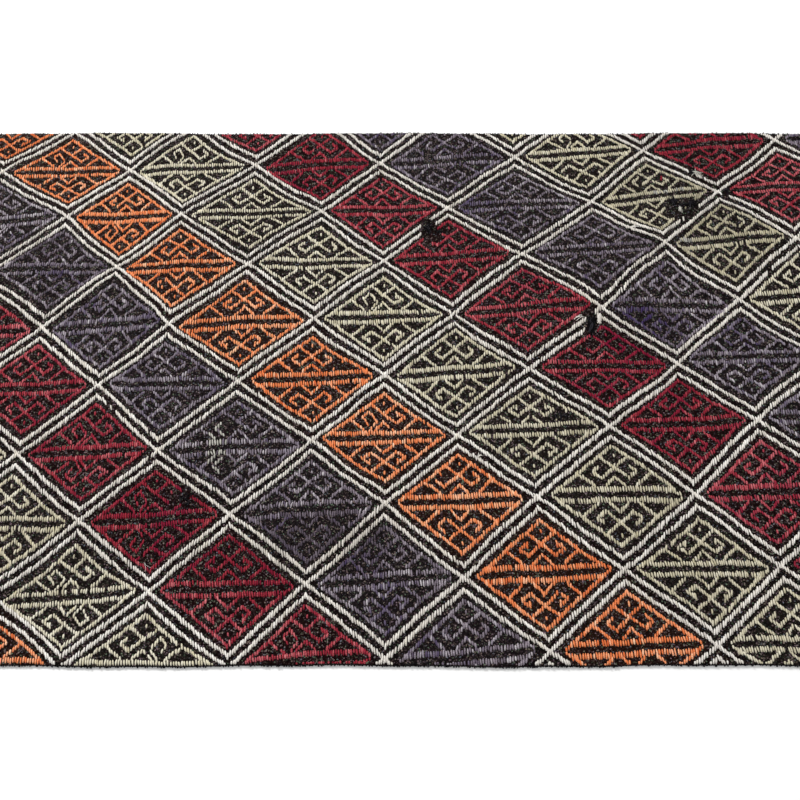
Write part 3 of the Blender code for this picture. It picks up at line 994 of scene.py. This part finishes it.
def float_tree():
    tree, bench, given = new_tree("lay_floats", SHAPE_INPUTS)

    def own(name):
        return bench.node("GeometryNodeInputNamedAttribute", {"data_type": "FLOAT"}, {"Name": name})

    def noted(geometry, name, kind, domain, value):
        sockets = {"Geometry": geometry, "Name": name, "Value": value}
        settings = {"data_type": kind, "domain": domain}
        return bench.node("GeometryNodeStoreNamedAttribute", settings, sockets)

    def vector(x=0.0, y=0.0, z=0.0):
        return bench.node("ShaderNodeCombineXYZ", None, {0: x, 1: y, 2: z})

    sizes = {"Segments": given.out("Sides"), "Rings": given.out("Steps"), "Radius": 0.5}
    ball = bench.node("GeometryNodeMeshUVSphere", None, sizes)
    mapped = noted(ball, "OFBake", "FLOAT2", "CORNER", ball.out("UV Map"))
    quarter_turn = {"Geometry": mapped, "Rotation": (math.pi / 2, 0, 0)}
    lying = bench.node("GeometryNodeTransform", None, quarter_turn)
    place = bench.node("ShaderNodeSeparateXYZ", None, {0: bench.node("GeometryNodeInputPosition")})
    x, y, z = place.out("X"), place.out("Y"), place.out("Z")
    domed = (z * 2.0).maths("MAXIMUM", given.out("Flat under") * -1.0)
    beside = x.maths("ABSOLUTE") * 2.0
    lifted = domed + beside * given.out("Shoulder") - y * y * given.out("Dive")
    moved = {"Geometry": lying, "Position": vector(x, y, lifted)}
    shaped = bench.node("GeometryNodeSetPosition", None, moved)
    position = bench.node("GeometryNodeInputPosition")
    copied = {
        "Points": given.out("Points"),
        "Instance": noted(shaped, "within", "FLOAT_VECTOR", "POINT", position),
        "Rotation": bench.node("FunctionNodeEulerToRotation", None, {0: vector(z=own("turn"))}),
        "Scale": vector(own("wide"), own("long"), own("rise")),
    }
    end_tree(bench, given, bench.node("GeometryNodeInstanceOnPoints", None, copied))
    return tree


laying = float_tree()
print("Tree nodes:", len(laying.nodes))

# %% [markdown]
# A modifier runs the tree on points that carry the attributes. The result is taken as a plain
# mesh, the modifier goes, and `settle` lays the mesh on the swells. Each float also gets its own
# cell of the UV map, so that no two floats overlap in it.

# %% Lay the floats of each yarn
SUNK = 0.0001
CELL_FILL = 0.92


def set_inputs(modifier, values):
    """Sets a modifier's inputs by their sockets' identifiers."""
    for item in modifier.node_group.interface.items_tree:
        if item.in_out == "INPUT" and item.name in values:
            modifier[item.identifier] = values[item.name]


def plain_mesh(name, points, tree, values):
    """The object that a tree makes of some points, as a plain mesh."""
    piece = bpy.data.objects.new(name, points)
    bpy.context.scene.collection.objects.link(piece)
    modifier = piece.modifiers.new(tree.name, "NODES")
    modifier.node_group = tree
    set_inputs(modifier, values)
    evaluated = piece.evaluated_get(bpy.context.evaluated_depsgraph_get())
    made = bpy.data.meshes.new_from_object(evaluated)
    piece.modifiers.remove(modifier)
    piece.data = made
    made.name = name
    return piece


def read(mesh_data, key, width):
    values = np.zeros(len(mesh_data) * width, np.float32)
    mesh_data.foreach_get(key, values)
    return values.reshape(-1, width)


def give(mesh, name, values):
    """Gives each point of a mesh a value."""
    attribute = mesh.attributes.new(name, "FLOAT", "POINT")
    attribute.data.foreach_set("value", values.astype(np.float32))


def spread_map(mesh, copies):
    """Gives each copy its own cell of the UV map."""
    layer = mesh.uv_layers["OFBake"]
    corners = read(layer.uv, "vector", 2)
    each = len(corners) // copies
    number = np.arange(len(corners)) // each
    side = math.ceil(math.sqrt(copies))
    cell = np.stack([number % side, number // side], 1)
    low = (1 - CELL_FILL) / 2
    placed = (cell + low + corners * CELL_FILL) / side
    layer.uv.foreach_set("vector", placed.astype(np.float32).ravel())


def lay(name, table, material):
    """One piece of floats, settled on the cloth."""
    count = len(table["x"])
    points = bpy.data.meshes.new(name + "_points")
    points.vertices.add(count)
    places = np.stack([table["x"], table["y"], np.full(count, GROUND - SUNK)], 1)
    points.vertices.foreach_set("co", places.astype(np.float32).ravel())
    for column in COLUMNS[2:]:
        give(points, column, table[column])
    piece = plain_mesh(name, points, laying, {"Finish": material})
    mesh = piece.data
    moved = settle(read(mesh.vertices, "co", 3))
    mesh.vertices.foreach_set("co", moved.astype(np.float32).ravel())
    spread_map(mesh, count)
    mesh.update()
    print(name, "floats:", count, "faces:", len(mesh.polygons))
    return piece


def split(table, chosen):
    return {name: values[chosen] for name, values in table.items()}


pieces = []
ivory = floats.pop("ivory")
leans_right = ivory["turn"] < WEAVE_TURN
pieces.append(lay("lattice_ivory_right", split(ivory, leans_right), wools["ivory"]))
pieces.append(lay("lattice_ivory_left", split(ivory, ~leans_right), wools["ivory"]))
for yarn, table in floats.items():
    pieces.append(lay("motifs_" + yarn, table, wools[yarn]))

# %% [markdown]
# ## Tufts, loose ends and cut yarns
#
# A loose strand is a yarn that bends, so copies of one solid won't do. A second tree spins it:
# it turns each line of edges into a curve, gives the curve a round section of a few sides and
# closes its ends.

# %% The tree that spins yarns
SPIN_INPUTS = (
    ("Sides", "NodeSocketInt", 5),
    ("Finish", "NodeSocketMaterial", None),
)


def yarn_tree():
    tree, bench, given = new_tree("spin_yarns", SPIN_INPUTS)
    thick = bench.node("GeometryNodeInputNamedAttribute", {"data_type": "FLOAT"}, {"Name": "thick"})
    path = bench.node("GeometryNodeMeshToCurve", None, {"Mesh": given.out("Points")})
    sizes = {"Resolution": given.out("Sides"), "Radius": 0.5}
    ring = bench.node("GeometryNodeCurvePrimitiveCircle", None, sizes)
    spun = {"Curve": path, "Profile Curve": ring, "Scale": thick, "Fill Caps": True}
    end_tree(bench, given, bench.node("GeometryNodeCurveToMesh", None, spun))
    return tree


spinning = yarn_tree()
print("Tree nodes:", len(spinning.nodes))

# %% [markdown]
# A row of `TUFTS` says where a tuft sits, how far it spreads, how many strands it has, how long
# and thick they are, and how high they arch. Each strand strays as it goes, as frayed wool does.
# The last word of a piece's name is its yarn.

# %% Tufts and loose ends
TUFT_COLUMNS = (
    "along", "across", "spread_along", "spread_across", "strands", "longest", "lift", "thick",
    "heading", "fan",
)  # fmt: skip  (places in diamonds, sizes in mm, the strands' heading and its fan in degrees)
TUFTS = {
    "mends_black": (
        (0.354, 1.29, 3.2, 6.4, 19, 8, 1, 0.6, 70, 50),
        (0.425, 1.25, 3, 2.6, 7, 6, 0.8, 0.6, 20, 60),
        (1.42, 0.35, 2.6, 7, 40, 12, 2.6, 0.8, 80, 30),
        (2.14, 1.425, 3.5, 4.2, 28, 7, 1, 0.7, 20, 90),
        (2.28, 1.39, 3.6, 3.2, 24, 7, 1.2, 0.7, 40, 90),
        (2.215, 1.375, 3.2, 2.4, 9, 7, 1, 0.65, 10, 60),
        (2.335, 1.72, 1.4, 2.4, 8, 6, 1.2, 0.7, 70, 60),
        (2.57, 1.5, 2.4, 4, 7, 6, 0.9, 0.7, 60, 60),
        (1.17, -0.41, 6, 3, 12, 7, 1.2, 0.8, 40, 70),
        (-1.31, -0.86, 7, 4, 14, 7, 1.2, 0.8, 30, 80),
    ),
    "ends_grey": (
        (2.365, 1.71, 3.4, 2.8, 9, 8, 2.2, 0.6, 30, 90),
        (2.182, 1.337, 0.9, 1.4, 9, 4, 2.2, 0.9, 70, 40),
        (0.375, 1.39, 2, 1.6, 4, 3, 1, 0.5, 40, 80),
    ),
    "ends_ivory": (
        (1.345, 0.405, 2.2, 1.4, 5, 9, 1.8, 0.45, 10, 25),
        (1.478, 0.4, 1.6, 3, 13, 8, 2.2, 1.3, 78, 10),
        (-1.527, -1.322, 1.4, 1.4, 2, 8, 1.2, 0.2, 125, 20),
        (1.8, 1.21, 3, 3, 6, 7, 1.4, 0.5, 60, 40),
        (0.648, -0.69, 1.4, 1.4, 4, 6, 1.6, 0.7, 60, 30),
    ),
}
STRAND_STEPS = 8
CURL_SPREAD, HOOK_SPREAD, SWAY_SPREAD = 0.16, 0.30, 0.02  # shares of a strand's length
STRAND_SHADE_SPREAD = 0.2
HALF_MM = 0.0005  # m, because a spread is given from side to side


def strand(place, heading, longest, lift, thick):
    """The points of one loose strand: an arch that strays as it goes."""
    long = 0.001 * longest * rng.uniform(0.6, 1.1)
    share = np.linspace(-0.5, 0.5, STRAND_STEPS)
    curl = rng.normal(0, CURL_SPREAD) * share + rng.normal(0, HOOK_SPREAD) * share**2
    sway = rng.normal(0, SWAY_SPREAD, STRAND_STEPS).cumsum()
    side = long * (curl + sway)
    x = place[0] + long * share * math.cos(heading) - side * math.sin(heading)
    y = place[1] + long * share * math.sin(heading) + side * math.cos(heading)
    arch = np.clip(1 - (2 * share) ** 2, 0, 1)
    z = GROUND + 0.001 * (0.5 * thick + arch * lift * rng.uniform(0.25, 1.0))
    return np.stack([x, y, z], 1)


def spin(name, paths, thick, shades, sides, material):
    """One piece of round yarns along the paths."""
    counts = [len(path) for path in paths]
    places = np.concatenate(paths)
    first = np.repeat(np.cumsum([0, *counts[:-1]]), counts)
    number = np.arange(len(places))
    inner = number[1:][first[1:] == first[:-1]]
    lines = bpy.data.meshes.new(name + "_paths")
    lines.from_pydata(settle(places).tolist(), np.stack([inner - 1, inner], 1).tolist(), [])
    give(lines, "thick", np.repeat(thick, counts))
    give(lines, "shade", np.repeat(shades, counts))
    piece = plain_mesh(name, lines, spinning, {"Sides": sides, "Finish": material})
    print(name, "yarns:", len(paths), "faces:", len(piece.data.polygons))
    return piece


def tuft_piece(name, rows):
    """All strands of one piece, from its rows."""
    paths, thick, shades = [], [], []
    for row in named_rows(TUFT_COLUMNS, rows):
        for _ in range(row["strands"]):
            along = row["along"] + rng.normal(0, HALF_MM) * row["spread_along"] / DIAMOND_WIDTH
            across = row["across"] + rng.normal(0, HALF_MM) * row["spread_across"] / DIAMOND_HEIGHT
            place = np.concatenate(on_cloth(np.array([along]), np.array([across])))
            heading = math.radians(row["heading"] + rng.uniform(-1, 1) * row["fan"])
            paths.append(strand(place, heading, row["longest"], row["lift"], row["thick"]))
            thick.append(0.001 * row["thick"] * rng.uniform(0.7, 1.2))
            shades.append(0.5 + rng.normal(0, STRAND_SHADE_SPREAD))
    return spin(name, paths, thick, shades, 5, wools[name.split("_")[1]])


for name, rows in TUFTS.items():
    pieces.append(tuft_piece(name, rows))

# %% [markdown]
# The ground yarns were cut with the cloth, so short stubs of them stand out all round.

# %% The cut ends of the ground yarns
CUT_STEP = 0.00125
CUT_LONGEST = 0.0015
CUT_INSIDE = 0.0012
CUT_HEIGHT = GROUND * 0.55
CUT_LOWEST = 0.0008
CUT_THICK = (0.0009, 0.0013)
STRAY_SIDEWAYS, STRAY_UP = 0.25, 0.15  # shares of a stub's length


def cut_ends():
    """Short stubs that stand out from the four cut edges."""
    roots = []
    for side in (-1, 1):
        half = half_width(side * LENGTH / 2)
        for y in np.arange(-half + CUT_STEP, half - CUT_STEP, CUT_STEP):
            root = (side * (LENGTH / 2 - CUT_INSIDE), y, CUT_HEIGHT)
            roots.append((root, (side, rng.normal(0, STRAY_SIDEWAYS), rng.normal(0, STRAY_UP))))
        for x in np.arange(-LENGTH / 2 + CUT_STEP, LENGTH / 2 - CUT_STEP, CUT_STEP):
            root = (x, side * (half_width(x) - CUT_INSIDE), CUT_HEIGHT)
            roots.append((root, (rng.normal(0, STRAY_SIDEWAYS), side, rng.normal(0, STRAY_UP))))
    paths, thick, shades = [], [], []
    for root, way in roots:
        reach = CUT_INSIDE + CUT_LONGEST * rng.uniform(0.1, 1.0)
        end = np.array(root) + np.array(way) * reach
        end[2] = max(end[2], CUT_LOWEST)
        paths.append(np.stack([root, end]))
        thick.append(rng.uniform(*CUT_THICK))
        shades.append(0.5 + rng.normal(0, STRAND_SHADE_SPREAD))
    return spin("cut_ends", paths, thick, shades, 4, wools["black"])


pieces.append(cut_ends())

# %% [markdown]
# ## The ground
#
# Under the floats lies a plain weave of near-black wool. It is one closed sheet with a real
# thickness. Its yarns are about a millimetre wide, so they are left to the material: a bump in
# two directions, and flecks of grey, green and purple, as hand-spun dark wool has.

# %% The finish of the ground
YARN_STEP = 0.00105
PICK_STEP = 0.00099
STIR_SCALE, FIBRE_SCALE, FLECK_SCALE = 260, 1300, 1000


def ground_wool():
    material, bench = new_material("wool_ground", 0.95, 0.02)
    object_place = bench.node("ShaderNodeTexCoord").out("Object")
    turned = {"Vector": object_place, "Rotation": (0, 0, -WEAVE_TURN)}
    place = bench.node("ShaderNodeMapping", None, turned)
    stir = bench.noise(place, STIR_SCALE)
    parts = bench.node("ShaderNodeSeparateXYZ", None, {0: place})
    warp = (parts.out("Y") * (math.pi / YARN_STEP) + stir * 5.0).maths("SINE")
    weft = (parts.out("X") * (math.pi / PICK_STEP) + stir * 5.0).maths("SINE")
    fibre = bench.noise(place, FIBRE_SCALE, 3)
    fleck = {"Vector": place, "Scale": FLECK_SCALE, "Randomness": 0.8}
    pebble = bench.node("ShaderNodeTexVoronoi", None, fleck)
    chance = bench.node("ShaderNodeSeparateColor", None, {0: pebble.out("Color")})
    tone = bench.ramp(
        chance.out("Red") + (fibre - 0.5) * 0.5,
        (0.30, (10, 6, 6)),
        (0.62, (26, 19, 18)),
        (0.86, (58, 52, 50)),
        (1.00, (128, 122, 116)),
    )
    tint = bench.ramp(
        chance.out("Green"),
        (0.10, (165, 225, 185)),
        (0.35, (250, 228, 215)),
        (0.60, (226, 190, 236)),
        (0.80, (240, 222, 215)),
        (0.95, (180, 210, 250)),
    )
    plain = bench.mix(0.8, tone, tint, "MULTIPLY")
    body = bench.mix(chance.out("Blue"), plain, bench.attribute("bleed", "Color"), "ADD")
    return dress(material, bench, body, warp * weft * 0.5 + fibre * 0.8, 0.7, 0.0005)


ground_finish = ground_wool()
print("Finish of the ground:", ground_finish.name)

# %% [markdown]
# The ground is a grid of faces above and one below, joined by a wall round the rim. The dye of
# each diamond has run a little into the ground under it, so each point of the sheet is followed
# back through the drift to its place on the pattern, and keeps a trace of the colour there.

# %% The ground cloth
GROUND_COLUMNS = 140
GROUND_ROWS = 80
EDGE_ROUND = 0.0009
RIM_DROP = 0.0006
DYE_EDGE = 0.12  # diamonds
STEPS_BACK = 4


def rounded_steps(count, reach):
    """Shares from -1 to 1, evenly spaced but for one extra step close to each end."""
    inner = 1 - EDGE_ROUND / reach
    return np.concatenate([[-1], np.linspace(-inner, inner, count - 1), [1]])


def sheet_layer(height, rim_drop):
    """One side of the sheet as a grid of places."""
    shares_x = rounded_steps(GROUND_COLUMNS, LENGTH / 2)
    shares_y = rounded_steps(GROUND_ROWS, WIDTH_LEFT / 2)
    x, share = np.meshgrid(shares_x * LENGTH / 2, shares_y, indexing="ij")
    y = share * half_width(x)
    on_rim = (np.abs(x) > LENGTH / 2 - 1e-6) | (np.abs(share) > 1 - 1e-6)
    z = height + np.where(on_rim, rim_drop, 0.0)
    return np.stack([x, y, z], -1).reshape(-1, 3)


def pattern_at(x, y):
    """Where on the pattern a place of the cloth is: the way back through the drift."""
    x, y = x - MIDDLE_CROSSING[0], y - MIDDLE_CROSSING[1]
    east = x * math.cos(WEAVE_TURN) + y * math.sin(WEAVE_TURN)
    north = y * math.cos(WEAVE_TURN) - x * math.sin(WEAVE_TURN)
    along, across = east / DIAMOND_WIDTH, north / DIAMOND_HEIGHT
    for _ in range(STEPS_BACK):
        push_east, push_north = drift_at(along, across)
        along, across = (east - push_east) / DIAMOND_WIDTH, (north - push_north) / DIAMOND_HEIGHT
    return along, across


def dye_at(x, y):
    """The dye that has run from the floats into the ground, as a colour."""
    along, across = pattern_at(x, y)
    down_right, down_left = along - across, -along - across
    middles = {row["yarn"]: row["middle"] for row in named_rows(YARN_COLUMNS, YARNS)}
    dye = np.zeros((len(x), 4))
    for j, yarn in STRIPES.items():
        inside = np.minimum(down_left - j, j + 1 - down_left)
        inside = np.minimum(inside, 0.5 - np.abs(down_right % 1 - 0.5))
        dye += np.outer(np.clip(inside / DYE_EDGE, 0, 1) * BLEEDS[yarn], colour(*middles[yarn]))
    return dye


def ground_sheet():
    top = sheet_layer(GROUND, -RIM_DROP)
    low = sheet_layer(0.0, 0.0)
    columns, rows = GROUND_COLUMNS + 1, GROUND_ROWS + 1
    numbers = np.arange(columns * rows).reshape(columns, rows)
    a, b, c, d = numbers[:-1, :-1], numbers[1:, :-1], numbers[1:, 1:], numbers[:-1, 1:]
    upper = np.stack([a, b, c, d], -1).reshape(-1, 4)
    lower = np.stack([d, c, b, a], -1).reshape(-1, 4) + len(top)
    rim = np.concatenate([numbers[:-1, 0], numbers[-1, :-1], numbers[:0:-1, -1], numbers[0, :0:-1]])
    after = np.roll(rim, -1)
    wall = np.stack([after, rim, rim + len(top), after + len(top)], -1)
    mesh = bpy.data.meshes.new("ground_weave")
    places = settle(np.concatenate([top, low]))
    faces = np.concatenate([upper, lower, wall])
    mesh.from_pydata(places.tolist(), [], faces.tolist())
    mesh.polygons.foreach_set("use_smooth", np.ones(len(mesh.polygons), bool))
    dye = dye_at(*np.concatenate([top, low]).T[:2])
    stain = mesh.attributes.new("bleed", "FLOAT_COLOR", "POINT")
    stain.data.foreach_set("color", dye.astype(np.float32).ravel())
    mesh.materials.append(ground_finish)
    piece = bpy.data.objects.new("ground_weave", mesh)
    bpy.context.scene.collection.objects.link(piece)
    return piece


ground = ground_sheet()
print("Ground faces:", len(ground.data.polygons))

# %% [markdown]
# ## The floor and the cloth's body
#
# The floor gets a pale finish of its own. The cloth goes on the frame's only body: the ground
# stands for the CAD solid, which is hidden, and the floats and loose yarns go with it, each piece
# with its own wool finish.

# %% The floor's finish
PAPER = (0.93, 0.93, 0.925, 1)

paper, _ = new_material("floor_paper", 0.9)
paper_shader = paper.node_tree.nodes["Principled BSDF"]
paper_shader.inputs["Base Color"].default_value = PAPER
floor_data.materials.append(paper)
print("Floor finish:", paper.name)

for piece in [ground, *pieces]:
    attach(piece, "root")
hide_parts("kilim_cloth")
